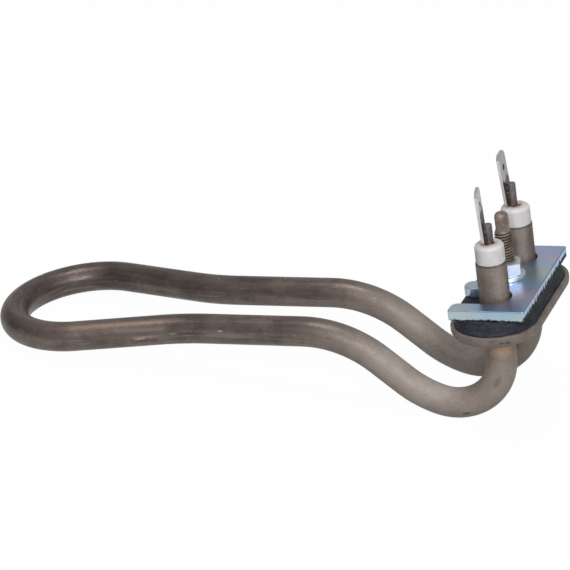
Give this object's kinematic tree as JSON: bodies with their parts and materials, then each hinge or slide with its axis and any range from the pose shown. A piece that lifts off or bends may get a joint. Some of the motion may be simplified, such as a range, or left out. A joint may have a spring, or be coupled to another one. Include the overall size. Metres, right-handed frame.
{
  "type": "tubular heating element",
  "caption": "Hairpin tubular heating element on an oval cup flange with gasket, clamp plate, stud and nut, ceramic-beaded tube ends and blade tab terminals.",
  "frame": {"origin": "on the stud axis, at the plane where the gasket's top face meets the clamp plate and, once fitted, the wall of the vessel", "axes": "+Z along the terminals, away from the heated side; the heated loop reaches out towards -X; the two legs stand at -Y and +Y"},
  "size_m": [0.1668, 0.0532, 0.0685],
  "materials": {
    "sheath": "annealed stainless tube, blasted, warm grey with heat tint",
    "magnesia": "compacted magnesia powder",
    "coil": "resistance wire winding",
    "seal": "cured sealing compound",
    "ceramic": "unglazed white steatite",
    "pin": "oxidised steel rod",
    "tab": "tinned strip",
    "braze": "brazing metal, heat tinted",
    "flange": "drawn stainless sheet, furnace grey",
    "gasket": "matt black moulded rubber",
    "plate": "zinc plated, blue passivated",
    "stud": "stainless thread, furnace grey",
    "washer": "bright zinc plate",
    "nut": "bright zinc plate"
  },
  "bodies": {
    "root": {"sheath_tube": "sheath", "magnesia_filling": "magnesia", "resistance_coil": "coil", "end_seal_near": "seal", "end_seal_far": "seal", "ceramic_insulator_near": "ceramic", "ceramic_insulator_far": "ceramic", "terminal_pin_near": "pin", "terminal_pin_far": "pin", "tab_terminal_near": "tab", "tab_terminal_far": "tab", "braze_ring_near": "braze", "braze_ring_far": "braze", "flange_cup": "flange", "gasket": "gasket", "clamp_plate": "plate", "stud": "stud", "flat_washer": "washer", "hex_nut": "nut"}
  },
  "joints": []
}
